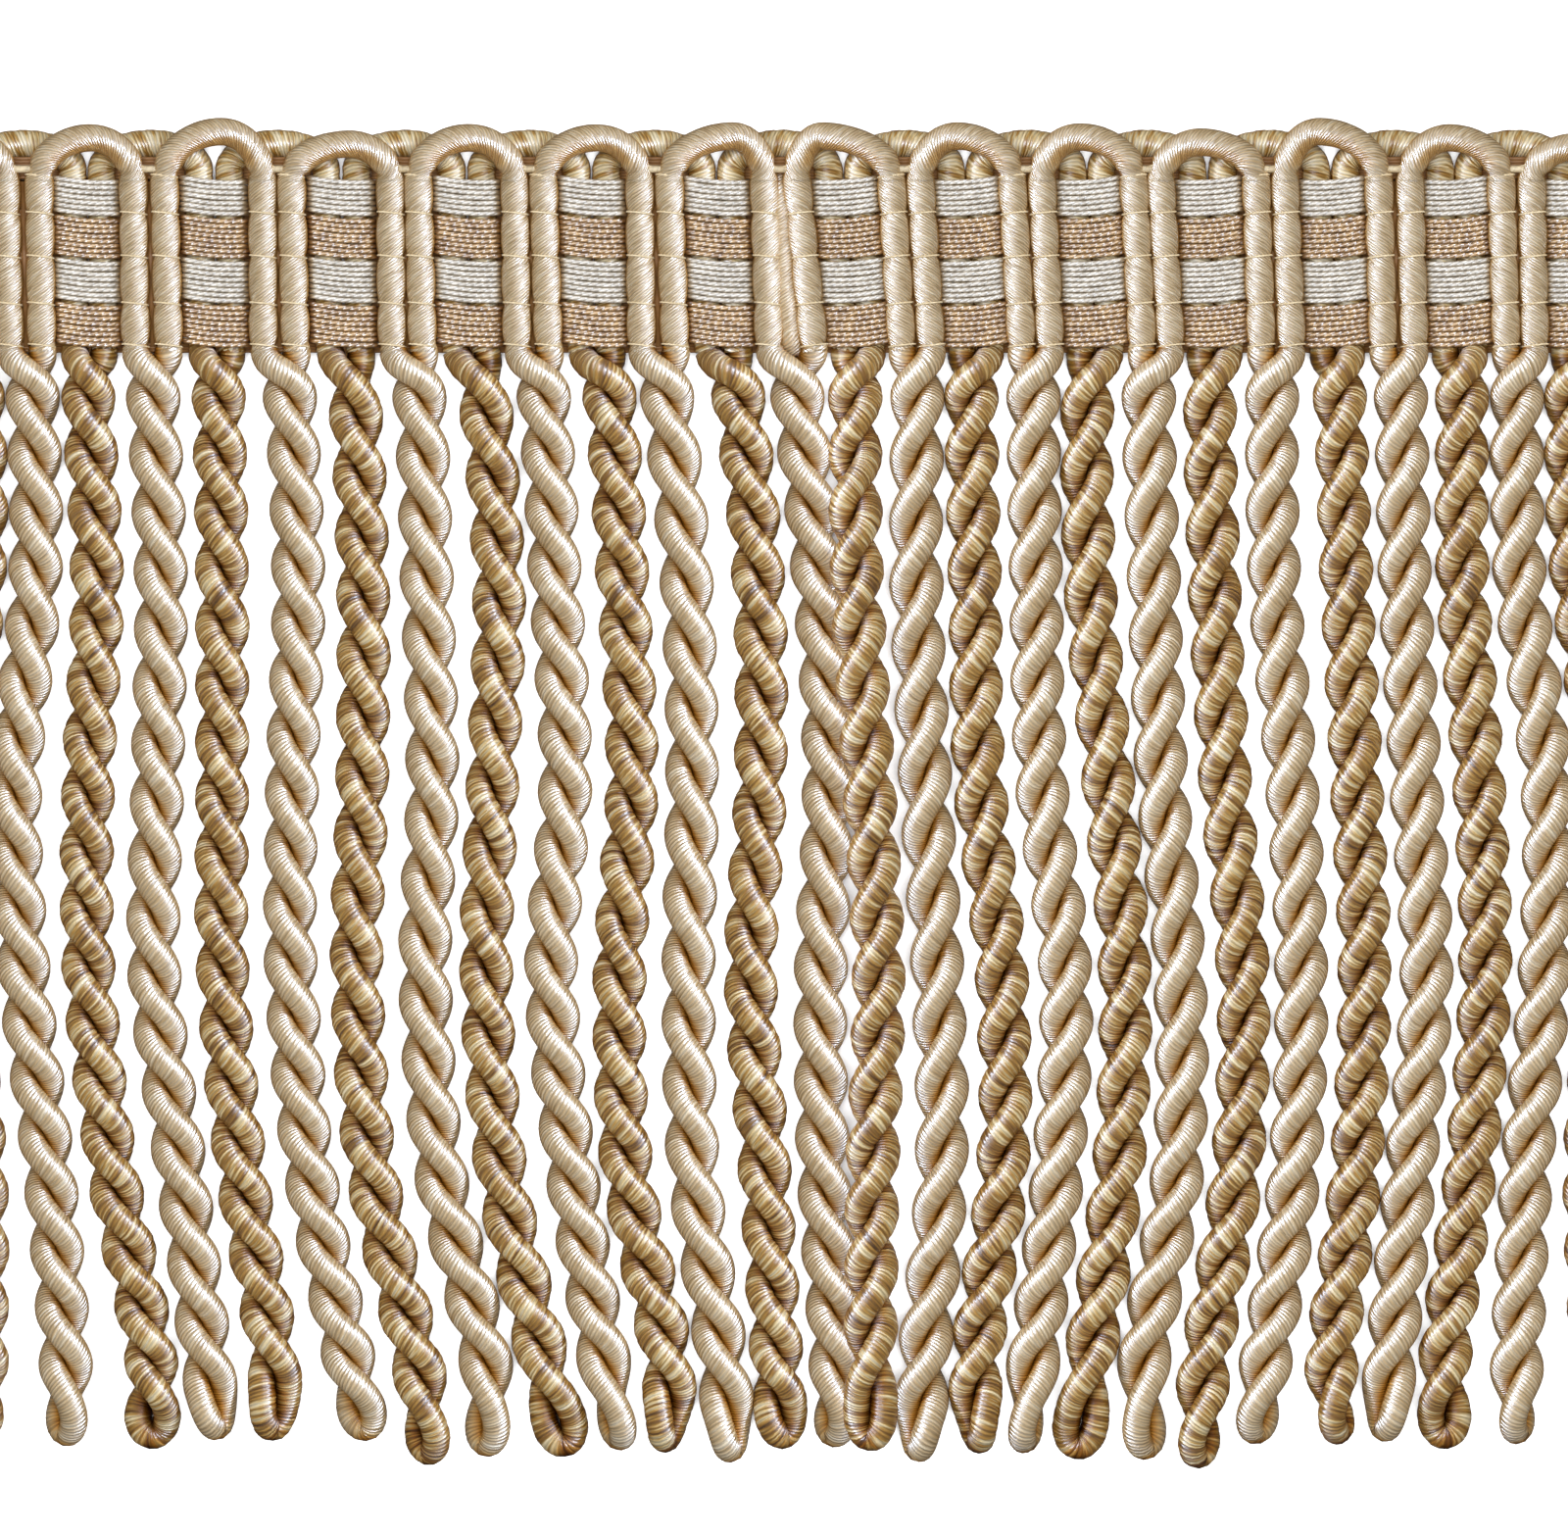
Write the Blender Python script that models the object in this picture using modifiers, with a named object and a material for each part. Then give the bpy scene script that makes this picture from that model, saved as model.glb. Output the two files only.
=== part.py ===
# Bullion fringe trim, a cut length lying face up on a flat surface.
# X runs along the trim, Y runs up towards the heading, Z stands off the surface.
# The origin is under the middle of the trim, on the surface.
# Sizes and places below are millimetres, and MM turns them into Blender's metres.

import math
from collections import namedtuple

import bmesh
import bpy
from mathutils import Vector

MM = 0.001
COLLECTION = "bullion_fringe_trim"

# Overall sizes
HALF_LENGTH = 98.2
HEADING_FOOT = 50.5
LEG_TOP = 69.1
GAP = 0.3

# Cream gimp hairpins of the front
CREAM_RADIUS = 1.5
CREAM_LEG_Z = 3.4
CREAM_ARCH_Z = 4.3
ARCH_STEPS = 4

# Tan gimp hairpins of the back
TAN_RADIUS = 1.3
TAN_Z = 1.3
TAN_SHOULDER = 69.7
TAN_APEX = 73.4
TAN_END_TOP = 72.0
TAN_STEPS = 3
TAN_SPREAD = 0.175
ROUND_SIDES = 1

# Woven bands, which run over the tan legs and under the cream ones
BAND_THICKNESS = 0.5
BAND_OVER_Z = 3.05
BAND_UNDER_Z = 1.4
UPPER_KNEE = 0.335
LOWER_KNEE = 0.64

# Strips that hold the roots of the ropes
STRIP_TOP = HEADING_FOOT - GAP
STRIP_FOOT = 48.0
CREAM_STRIP_Z = (2.5, 4.5)
TAN_STRIP_Z = (0.0, 2.0)
ROOT_RUN = 0.5

# Two-ply ropes, each a twisted four-sided bar
ROPE_HALF_WIDTH = 2.6
ROPE_HALF_DEPTH = 1.3
ROPE_Z = 2.95
TIP_Z = 1.4
TWIST_STEP = math.radians(72)
TIP_RUN = 3.2
TIP_SHOULDER = 1.1
TIP_EASE = 0.88
TIP_POINT = 0.55

# The ropes turn one way left of this place along the trim, and the other way right of it
TURN_CHANGE = 6.0

# One rope lies up on its two neighbours
PROPPED = "N"
PROP_HEIGHT = 4.0
PROP_START = 10.0
PROP_RUN = 10.0

# Depths below the heading's foot where each rope's sideways sway is given
SWAY_DEPTHS = (5, 27, 49, 71, 93, 115)

# root is the rope's place along the trim, and the sways are measured from it.
# first is the depth where the two plies first lie side by side below the heading,
# lobe is half a turn of the twist, and eye is the width of the loop at the tip.
Rope = namedtuple(
    "Rope", "name yarn root at5 at27 at49 at71 at93 at115 at_tip tip first lobe eye"
)
ROPES = [
    Rope("Z0", "tan", -91.2, 1.9, 2.1, -0.4, 0.4, 2.3, 2.4, 2.4, 123.5, 5.6, 6.41, 5.5),
    Rope("A", "cream", -83.9, 0.8, 1.1, -1.1, -0.1, 2.7, 4.6, 4.6, 124.1, 5.6, 6.41, 5.3),
    Rope("B", "tan", -76.7, -0.1, 0.9, -0.1, 0.0, 2.7, 7.1, 6.9, 124.4, 5.6, 6.41, 6.6),
    Rope("C", "cream", -69.6, 0.1, 1.0, 0.6, 0.3, 3.3, 6.3, 7.4, 123.4, 5.6, 6.52, 4.8),
    Rope("D", "tan", -62.4, 0.3, 0.7, 0.7, 0.8, 2.9, 6.6, 6.1, 123.5, 5.6, 6.46, 5.3),
    Rope("E", "cream", -55.2, 1.1, 2.1, 1.4, 1.3, 3.4, 8.0, 10.1, 123.5, 5.6, 6.36, 6.0),
    Rope("F", "tan", -48.0, 1.2, 2.2, 2.1, 1.5, 3.2, 8.4, 9.8, 126.2, 7.8, 6.74, 5.5),
    Rope("G", "cream", -40.9, 1.4, 2.3, 2.9, 2.1, 3.8, 9.0, 9.0, 125.3, 5.6, 6.8, 5.5),
    Rope("H", "tan", -33.7, 1.5, 3.2, 2.5, 1.8, 3.5, 8.4, 11.1, 125.3, 7.8, 6.96, 6.4),
    Rope("I", "cream", -26.6, 1.1, 2.5, 3.6, 2.0, 4.3, 8.1, 10.1, 124.6, 5.6, 6.36, 4.6),
    Rope("J", "tan", -19.6, 1.5, 3.1, 4.1, 2.7, 3.6, 8.2, 7.7, 124.8, 5.6, 6.56, 4.4),
    Rope("K", "cream", -12.5, 0.9, 3.2, 3.8, 3.4, 4.0, 7.3, 8.2, 125.9, 5.6, 7.04, 4.4),
    Rope("L", "tan", -5.3, 1.7, 4.1, 4.3, 3.2, 4.8, 6.2, 6.9, 124.4, 5.6, 6.7, 5.7),
    Rope("M", "cream", 2.5, 0.6, 2.8, 3.3, 3.3, 3.5, 4.4, 4.4, 124.2, 5.6, 6.43, 5.1),
    Rope("N", "tan", 10.1, -0.4, -0.2, 1.1, 2.2, 1.5, 1.3, 1.3, 124.4, 5.6, 6.54, 6.0),
    Rope("O", "cream", 16.7, 0.0, -0.1, 0.9, 2.3, 2.7, 0.7, 0.1, 125.9, 5.6, 7.07, 4.2),
    Rope("P", "tan", 23.4, -0.6, -0.2, 0.3, 2.8, 2.9, -0.1, 0.4, 124.9, 5.6, 6.57, 4.2),
    Rope("Q", "cream", 30.1, -0.3, 0.0, 0.6, 3.3, 2.4, -0.4, -1.5, 124.9, 5.6, 6.39, 4.2),
    Rope("R", "tan", 36.9, -1.0, -0.7, 1.3, 3.2, 2.4, -0.9, -2.3, 125.6, 7.3, 6.96, 6.4),
    Rope("S", "cream", 43.6, -0.8, -0.2, 0.7, 2.7, 2.4, -1.4, -1.1, 125.6, 5.6, 6.78, 5.3),
    Rope("T", "tan", 50.4, -0.7, -0.2, 1.0, 3.0, 2.3, -1.3, -2.1, 126.6, 7.3, 6.85, 5.2),
    Rope("U", "cream", 57.1, -0.4, -0.1, 1.8, 2.9, 2.1, -1.2, -2.5, 123.9, 5.6, 6.41, 5.3),
    Rope("V", "tan", 64.0, 0.3, 1.1, 2.2, 3.1, 2.1, -0.6, 0.4, 123.9, 5.6, 6.45, 4.6),
    Rope("W", "cream", 70.9, 0.3, 0.8, 2.0, 3.2, 1.4, -0.9, -1.5, 123.6, 5.6, 6.49, 4.3),
    Rope("X", "tan", 77.9, 0.2, 0.3, 2.1, 2.8, 1.1, -1.8, -1.5, 124.4, 5.6, 6.34, 6.3),
    Rope("Y", "cream", 84.6, -0.3, 0.1, 3.1, 2.8, 0.8, -0.3, -0.2, 123.9, 5.6, 6.45, 4.6),
    Rope("Z", "tan", 91.5, -1.1, -0.4, 2.7, 2.3, 1.0, 1.7, 1.7, 123.9, 5.6, 6.41, 5.5),
]

# Each cream hairpin: its left and right legs at the top and at the foot,
# the place of its crown along the trim, and the height of its outer edge there.
Loop = namedtuple("Loop", "left_top left_foot right_top right_foot crown height")
LOOPS = [
    Loop(-96.7, -96.5, -86.1, -85.6, -91.4, 75.5),
    Loop(-82.3, -82.0, -71.7, -71.4, -76.4, 75.5),
    Loop(-68.2, -67.7, -57.1, -57.0, -61.7, 76.2),
    Loop(-53.9, -53.4, -42.7, -42.5, -47.3, 74.8),
    Loop(-39.6, -39.1, -28.7, -28.4, -33.8, 75.5),
    Loop(-25.5, -24.9, -14.6, -14.4, -19.4, 75.5),
    Loop(-11.3, -10.6, -0.6, 0.0, -4.0, 75.7),
    Loop(3.1, 5.1, 13.8, 15.0, 5.9, 75.7),
    Loop(17.0, 18.3, 27.4, 28.5, 21.1, 75.7),
    Loop(30.7, 31.7, 41.1, 42.1, 34.9, 75.6),
    Loop(44.1, 45.3, 54.9, 55.5, 48.6, 75.0),
    Loop(58.1, 58.9, 68.7, 69.2, 61.9, 76.2),
    Loop(72.2, 72.7, 82.5, 83.1, 76.6, 75.5),
    Loop(85.9, 86.3, 96.1, 96.7, 90.9, 74.5),
]

# Each woven band's lower and upper edge
Band = namedtuple("Band", "name foot top colour")
BANDS = [
    Band("white_band_upper", 65.6, 69.7, "white"),
    Band("tan_band_upper", 60.8, 65.3, "tan_yarn"),
    Band("white_band_lower", 55.8, 60.5, "white"),
    Band("tan_band_lower", 50.8, 55.5, "tan_yarn"),
]

ROUGHNESS = 0.45
COLOURS = {
    "cream": (0.66, 0.56, 0.36),
    "tan": (0.45, 0.29, 0.13),
    "white": (0.76, 0.72, 0.64),
    "tan_yarn": (0.38, 0.24, 0.11),
}


def clear_scene():
    for obj in list(bpy.data.objects):
        bpy.data.objects.remove(obj, do_unlink=True)


def make_collection():
    collection = bpy.data.collections.new(COLLECTION)
    bpy.context.scene.collection.children.link(collection)
    return collection


def finish_object(obj, colour, collection):
    material = bpy.data.materials.new(obj.name + "_finish")
    material.use_nodes = True
    shader = material.node_tree.nodes["Principled BSDF"]
    shader.inputs["Base Color"].default_value = (*COLOURS[colour], 1.0)
    shader.inputs["Roughness"].default_value = ROUGHNESS
    shader.inputs["Metallic"].default_value = 0.0
    obj.data.materials.append(material)
    collection.objects.link(obj)


def object_from_bmesh(name, bm, colour, collection):
    for vert in bm.verts:
        vert.co *= MM
    bmesh.ops.recalc_face_normals(bm, faces=bm.faces[:])
    mesh = bpy.data.meshes.new(name)
    bm.to_mesh(mesh)
    bm.free()
    obj = bpy.data.objects.new(name, mesh)
    finish_object(obj, colour, collection)
    return obj


def cord_tube(name, points, radius, colour, collection):
    curve = bpy.data.curves.new(name, "CURVE")
    curve.dimensions = "3D"
    curve.bevel_depth = radius * MM
    curve.bevel_resolution = ROUND_SIDES
    curve.use_fill_caps = True
    spline = curve.splines.new("POLY")
    spline.points.add(len(points) - 1)
    for spline_point, place in zip(spline.points, points):
        spline_point.co = (place[0] * MM, place[1] * MM, place[2] * MM, 1.0)
    finish_object(bpy.data.objects.new(name, curve), colour, collection)


def leg_at(top_x, foot_x, height):
    share = (height - HEADING_FOOT) / (LEG_TOP - HEADING_FOOT)
    return foot_x + (top_x - foot_x) * share


def cream_legs(loop, height):
    left = leg_at(loop.left_top, loop.left_foot, height)
    right = leg_at(loop.right_top, loop.right_foot, height)
    return left, right


def tan_legs(loop, height):
    left, right = cream_legs(loop, height)
    middle = (left + right) / 2
    reach = TAN_SPREAD * (right - left)
    return middle - reach, middle + reach


def arch_points(start, crown, end, steps):
    # Two quarter ellipses from one upright leg over the crown to the other
    points = []
    for i in range(steps + 1):
        turn = math.pi / 2 * i / steps
        x = crown[0] + (start[0] - crown[0]) * math.cos(turn)
        y = start[1] + (crown[1] - start[1]) * math.sin(turn)
        points.append((x, y))
    for i in range(steps - 1, -1, -1):
        turn = math.pi / 2 * i / steps
        x = crown[0] + (end[0] - crown[0]) * math.cos(turn)
        y = end[1] + (crown[1] - end[1]) * math.sin(turn)
        points.append((x, y))
    return points


def make_cream_loops(collection):
    for number, loop in enumerate(LOOPS, start=1):
        crown = (loop.crown, loop.height - CREAM_RADIUS)
        start = (loop.left_top, LEG_TOP)
        end = (loop.right_top, LEG_TOP)
        arch = arch_points(start, crown, end, ARCH_STEPS)
        points = [(loop.left_foot, HEADING_FOOT, CREAM_LEG_Z)]
        points.append((*arch[0], CREAM_LEG_Z))
        for place in arch[1:-1]:
            points.append((*place, CREAM_ARCH_Z))
        points.append((*arch[-1], CREAM_LEG_Z))
        points.append((loop.right_foot, HEADING_FOOT, CREAM_LEG_Z))
        cord_tube(f"cream_loop_{number:02d}", points, CREAM_RADIUS, "cream", collection)


def make_tan_loops(collection):
    # Each spans from one window's right leg to the next window's left leg
    for number in range(1, len(LOOPS)):
        before = LOOPS[number - 1]
        after = LOOPS[number]
        start = (tan_legs(before, TAN_SHOULDER)[1], TAN_SHOULDER)
        end = (tan_legs(after, TAN_SHOULDER)[0], TAN_SHOULDER)
        crown = ((before.right_top + after.left_top) / 2, TAN_APEX)
        points = [(tan_legs(before, HEADING_FOOT)[1], HEADING_FOOT, TAN_Z)]
        for place in arch_points(start, crown, end, TAN_STEPS):
            points.append((*place, TAN_Z))
        points.append((tan_legs(after, HEADING_FOOT)[0], HEADING_FOOT, TAN_Z))
        cord_tube(f"tan_loop_{number:02d}", points, TAN_RADIUS, "tan", collection)


def make_tan_end_legs(collection):
    # The two outermost legs, cut off plain where the trim was cut
    for name, loop, side in (("left", LOOPS[0], 0), ("right", LOOPS[-1], 1)):
        foot = tan_legs(loop, HEADING_FOOT)[side]
        top = tan_legs(loop, TAN_END_TOP)[side]
        points = [(foot, HEADING_FOOT, TAN_Z), (top, TAN_END_TOP, TAN_Z)]
        cord_tube("tan_end_leg_" + name, points, TAN_RADIUS, "tan", collection)


def band_path(height):
    # Places along the trim where a band bends, with its height off the surface
    path = [(-HALF_LENGTH, BAND_UNDER_Z)]
    for loop in LOOPS:
        cream_left, cream_right = cream_legs(loop, height)
        tan_left, tan_right = tan_legs(loop, height)
        left_reach = cream_left - tan_left
        right_reach = cream_right - tan_right
        path.append((tan_left + LOWER_KNEE * left_reach, BAND_UNDER_Z))
        path.append((tan_left + UPPER_KNEE * left_reach, BAND_OVER_Z))
        path.append((tan_right + UPPER_KNEE * right_reach, BAND_OVER_Z))
        path.append((tan_right + LOWER_KNEE * right_reach, BAND_UNDER_Z))
    path.append((HALF_LENGTH, BAND_UNDER_Z))
    return path


def grid_rows(bm, columns):
    # A flat grid one face deep, as its lower and its upper row of points
    bmesh.ops.create_grid(bm, x_segments=columns - 1, y_segments=1, size=1)
    rows = []
    for side in (-1, 1):
        row = [vert for vert in bm.verts if vert.co.y * side > 0]
        rows.append(sorted(row, key=lambda vert: vert.co.x))
    return rows


def make_band(band, collection):
    foot_path = band_path(band.foot)
    top_path = band_path(band.top)
    bm = bmesh.new()
    rows = grid_rows(bm, len(foot_path))
    edges = ((foot_path, band.foot), (top_path, band.top))
    for row, (path, height) in zip(rows, edges):
        for vert, (x, z) in zip(row, path):
            vert.co = Vector((x, height, z))
    obj = object_from_bmesh(band.name, bm, band.colour, collection)
    shell = obj.modifiers.new("yarn thickness", "SOLIDIFY")
    shell.thickness = BAND_THICKNESS * MM
    shell.offset = 0.0
    shell.use_even_offset = True


def rope_sway(rope, depth):
    # A smooth curve through the rope's listed sways
    knots = [(0.0, 0.0)]
    knots += zip(SWAY_DEPTHS, (rope.at5, rope.at27, rope.at49, rope.at71, rope.at93, rope.at115))
    knots.append((rope.tip, rope.at_tip))
    slopes = []
    for i in range(len(knots)):
        low = knots[max(i - 1, 0)]
        high = knots[min(i + 1, len(knots) - 1)]
        slopes.append((high[1] - low[1]) / (high[0] - low[0]))
    for i in range(len(knots) - 1):
        if depth <= knots[i + 1][0] or i == len(knots) - 2:
            run = knots[i + 1][0] - knots[i][0]
            t = (depth - knots[i][0]) / run
            start = (2 * t**3 - 3 * t**2 + 1) * knots[i][1]
            end = (3 * t**2 - 2 * t**3) * knots[i + 1][1]
            bend = (t**3 - 2 * t**2 + t) * slopes[i] + (t**3 - t**2) * slopes[i + 1]
            return start + end + bend * run


def smooth_share(value, start, run):
    share = min(max((value - start) / run, 0.0), 1.0)
    return share * share * (3 - 2 * share)


def rope_lift(rope, depth):
    if rope.name != PROPPED:
        return 0.0
    return PROP_HEIGHT * smooth_share(depth, PROP_START, PROP_RUN)


def section(rope, depth, turn, centre_z, half_width, half_depth):
    hand = -1.0 if rope.root < TURN_CHANGE else 1.0
    angle = hand * turn
    centre_x = rope.root + rope_sway(rope, depth)
    corners = []
    for u, v in ((-1, -1), (1, -1), (1, 1), (-1, 1)):
        x = u * half_width * math.cos(angle) - v * half_depth * math.sin(angle)
        z = u * half_width * math.sin(angle) + v * half_depth * math.cos(angle)
        place = (centre_x + x, HEADING_FOOT - depth, centre_z + z)
        corners.append(Vector(place))
    return corners


def rope_sections(rope, strip_z):
    strip_middle = sum(strip_z) / 2
    strip_half = (strip_z[1] - strip_z[0]) / 2
    strip_depth = HEADING_FOOT - STRIP_FOOT
    root_depth = strip_depth + ROOT_RUN
    # Straight out of the strip, then level to where the twist starts
    rings = [section(rope, root_depth, 0, strip_middle, ROPE_HALF_WIDTH, strip_half)]
    start_z = (strip_middle + ROPE_Z) / 2
    rings.append(section(rope, rope.first, 0, start_z, ROPE_HALF_WIDTH, ROPE_HALF_DEPTH))
    turn = TWIST_STEP
    tip_start = rope.tip - TIP_RUN
    while rope.first + rope.lobe * (turn + TWIST_STEP / 2) / math.pi < tip_start:
        depth = rope.first + rope.lobe * turn / math.pi
        centre_z = ROPE_Z + rope_lift(rope, depth)
        rings.append(section(rope, depth, turn, centre_z, ROPE_HALF_WIDTH, ROPE_HALF_DEPTH))
        turn += TWIST_STEP
    # The eye at the tip lies flat on the surface
    level_turn = math.pi * round(turn / math.pi)
    half_eye = rope.eye / 2 * TIP_EASE
    tip_z = TIP_Z
    if rope.name == PROPPED:
        tip_z = ROPE_Z + PROP_HEIGHT
    for back, half_width in (
        (TIP_RUN, half_eye),
        (TIP_SHOULDER, half_eye),
        (0.0, half_eye * TIP_POINT),
    ):
        depth = rope.tip - back
        rings.append(section(rope, depth, level_turn, tip_z, half_width, ROPE_HALF_DEPTH))
    return rings


def grow_rope(bm, face, corners, rings):
    for ring in rings:
        grown = bmesh.ops.extrude_discrete_faces(bm, faces=[face])
        face = grown["faces"][0]
        for vert in face.verts:
            nearest = min(range(4), key=lambda i: (vert.co - corners[i]).length)
            vert.co = ring[nearest]
        corners = ring


def make_fringe(name, yarn, strip_z, collection):
    ropes = [rope for rope in ROPES if rope.yarn == yarn]
    places = [-HALF_LENGTH]
    for rope in ropes:
        places += [rope.root - ROPE_HALF_WIDTH, rope.root + ROPE_HALF_WIDTH]
    places.append(HALF_LENGTH)
    bm = bmesh.new()
    for row, height in zip(grid_rows(bm, len(places)), (STRIP_FOOT, STRIP_TOP)):
        for vert, x in zip(row, places):
            vert.co = Vector((x, height, strip_z[0]))
    raised = bmesh.ops.extrude_face_region(bm, geom=bm.faces[:], use_keep_orig=True)
    for item in raised["geom"]:
        if isinstance(item, bmesh.types.BMVert):
            item.co.z = strip_z[1]
    for rope in ropes:
        foot = Vector((rope.root, STRIP_FOOT, sum(strip_z) / 2))
        bm.faces.ensure_lookup_table()
        face = min(bm.faces, key=lambda f: (f.calc_center_median() - foot).length)
        corners = []
        for u, v in ((-1, 0), (1, 0), (1, 1), (-1, 1)):
            x = rope.root + u * ROPE_HALF_WIDTH
            corners.append(Vector((x, STRIP_FOOT, strip_z[v])))
        grow_rope(bm, face, corners, rope_sections(rope, strip_z))
    bmesh.ops.triangulate(bm, faces=bm.faces[:], quad_method="SHORT_EDGE")
    object_from_bmesh(name, bm, yarn, collection)


def main():
    clear_scene()
    collection = make_collection()
    make_fringe("cream_fringe", "cream", CREAM_STRIP_Z, collection)
    make_fringe("tan_fringe", "tan", TAN_STRIP_Z, collection)
    make_cream_loops(collection)
    make_tan_loops(collection)
    make_tan_end_legs(collection)
    for band in BANDS:
        make_band(band, collection)


main()
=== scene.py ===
import math
from collections import namedtuple

import bpy
import numpy as np
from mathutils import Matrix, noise


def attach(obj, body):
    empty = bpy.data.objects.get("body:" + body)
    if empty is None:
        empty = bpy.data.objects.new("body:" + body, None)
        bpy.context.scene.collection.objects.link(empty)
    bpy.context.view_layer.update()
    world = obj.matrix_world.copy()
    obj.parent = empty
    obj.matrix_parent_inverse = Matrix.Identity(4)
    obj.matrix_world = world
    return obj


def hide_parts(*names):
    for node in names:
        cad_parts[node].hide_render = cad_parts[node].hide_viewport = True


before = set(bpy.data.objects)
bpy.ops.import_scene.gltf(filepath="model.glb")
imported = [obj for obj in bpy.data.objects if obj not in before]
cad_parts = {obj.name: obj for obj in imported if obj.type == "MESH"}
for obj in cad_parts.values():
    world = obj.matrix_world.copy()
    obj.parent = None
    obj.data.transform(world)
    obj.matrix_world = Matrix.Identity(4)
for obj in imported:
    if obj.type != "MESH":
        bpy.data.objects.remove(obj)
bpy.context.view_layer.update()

# Bullion fringe trim, a cut length lying face up on a pale floor.
# X runs along the trim, Y up towards the heading and Z off the floor.
# All lengths here are millimetres until mm turns them into metres.
mm = 0.001
headingFoot = 50.5      # where the heading ends and the ropes begin
legTop = 69.1           # where the cream hairpins start to bend over
halfLength = 98.2       # from the middle of the trim to its cut ends

bpy.ops.object.select_all(action="DESELECT")


# Camera straight above, as the photo was taken, with a long lens

camera = {
    "frameWidth": 176.8,        # what the picture spans at the trim's height
    "lookAt": (1.66, 2.93, 3.0),
    "height": 1200.0,
    "sensor": 36.0,
    "nearest": 0.05,            # what it can see, in metres
    "farthest": 20.0,
}


def makeCamera():
    data = bpy.data.cameras.new("camera")
    data.sensor_width = camera["sensor"]
    data.lens = camera["sensor"] * camera["height"] / camera["frameWidth"]
    data.clip_start = camera["nearest"]
    data.clip_end = camera["farthest"]
    obj = bpy.data.objects.new("camera", data)
    x, y, z = camera["lookAt"]
    obj.location = (x * mm, y * mm, (z + camera["height"]) * mm)
    bpy.context.scene.collection.objects.link(obj)
    bpy.context.scene.camera = obj


makeCamera()
print("camera ready")


# Small helpers for colours, nodes and pieces


def toLinear(hexColour):
    channels = [int(hexColour[i:i + 2], 16) / 255 for i in (1, 3, 5)]
    linear = [c / 12.92 if c <= 0.04045 else ((c + 0.055) / 1.055) ** 2.4 for c in channels]
    return (*linear, 1.0)


def setSockets(tree, node, sockets):
    # A node is linked by its first output, and a plain value is set
    for socket, value in sockets.items():
        if isinstance(value, bpy.types.Node):
            value = value.outputs[0]
        if isinstance(value, bpy.types.NodeSocket):
            tree.links.new(value, node.inputs[socket])
        else:
            node.inputs[socket].default_value = value


def addNode(tree, kind, sockets=None, stops=None, **settings):
    node = tree.nodes.new("ShaderNode" + kind)
    for name, value in settings.items():
        setattr(node, name, value)
    setSockets(tree, node, sockets or {})
    if stops:
        ramp = node.color_ramp.elements
        while len(ramp) < len(stops):
            ramp.new(0.5)
        for element, (place, colour) in zip(ramp, stops):
            element.position = place
            element.color = toLinear(colour)
    return node


def newMaterial(name):
    material = bpy.data.materials.new(name)
    material.use_nodes = True
    tree = material.node_tree
    tree.nodes.clear()
    shader = addNode(tree, "BsdfPrincipled")
    addNode(tree, "OutputMaterial", {"Surface": shader})
    return material, tree, shader


def applyPaintedShade(tree, colour, paintedShade, stops):
    # Painted shade: down between two cords the colour is darkened and browned
    tint = addNode(tree, "ValToRGB", {0: paintedShade}, stops=stops)
    return addNode(tree, "VectorMath", {0: colour, 1: tint}, operation="MULTIPLY")


def smoothShare(value, start, run):
    # Eases from 0 at start to 1 at start plus run
    share = np.clip((value - start) / run, 0.0, 1.0)
    return share * share * (3 - 2 * share)


def evenPoints(line, step):
    # The same line with its points an even step apart
    line = np.asarray(line)
    runs = np.linalg.norm(np.diff(line, axis=0), axis=1)
    along = np.concatenate(([0.0], np.cumsum(runs)))
    count = max(int(round(along[-1] / step)), 2)
    places = np.linspace(0.0, along[-1], count + 1)
    points = np.stack([np.interp(places, along, line[:, i]) for i in range(3)], axis=1)
    return points, along[-1]


def slowNoise(places, seed):
    return np.array([noise.noise((place, seed, 0.37 * seed)) for place in places])


weldDistance = 0.002        # points nearer than this are merged, which closes a cord's seam


def makeCord(name, lines, radius, roundness=4, radii=None):
    # A curve with a bevel, made a mesh: its map runs 0 to 1 along and 0 to 1 around
    curve = bpy.data.curves.new(name, "CURVE")
    curve.dimensions = "3D"
    curve.twist_mode = "Z_UP"
    curve.use_fill_caps = True
    curve.bevel_depth = radius * mm
    curve.bevel_resolution = roundness
    for i, line in enumerate(lines):
        spline = curve.splines.new("POLY")
        spline.points.add(len(line) - 1)
        places = np.ones((len(line), 4))
        places[:, :3] = line * mm
        spline.points.foreach_set("co", places.ravel())
        if radii is not None:
            spline.points.foreach_set("radius", radii[i])
    piece = bpy.data.objects.new(name, curve)
    bpy.context.scene.collection.objects.link(piece)
    bpy.ops.object.select_all(action="DESELECT")
    piece.select_set(True)
    bpy.context.view_layer.objects.active = piece
    bpy.ops.object.convert(target="MESH")
    piece = bpy.context.view_layer.objects.active
    piece.name = name
    bpy.ops.object.mode_set(mode="EDIT")
    bpy.ops.mesh.select_all(action="SELECT")
    bpy.ops.mesh.remove_doubles(threshold=weldDistance * mm)
    bpy.ops.mesh.normals_make_consistent(inside=False)
    bpy.ops.object.mode_set(mode="OBJECT")
    bpy.ops.object.shade_smooth()
    piece.select_set(False)
    return piece


def stretchMap(piece, length, wraps):
    # The map's first side becomes millimetres along the cord, and its second side counts
    # the wound ribbons that lie side by side, which sets how steeply they wind
    layer = piece.data.uv_layers[0]
    layer.name = "cordMap"
    places = np.empty(len(layer.uv) * 2, dtype=np.float32)
    layer.uv.foreach_get("vector", places)
    places = places.reshape(-1, 2)
    places[:, 0] *= length
    places[:, 1] *= wraps
    layer.uv.foreach_set("vector", places.ravel())
    return places


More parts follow.
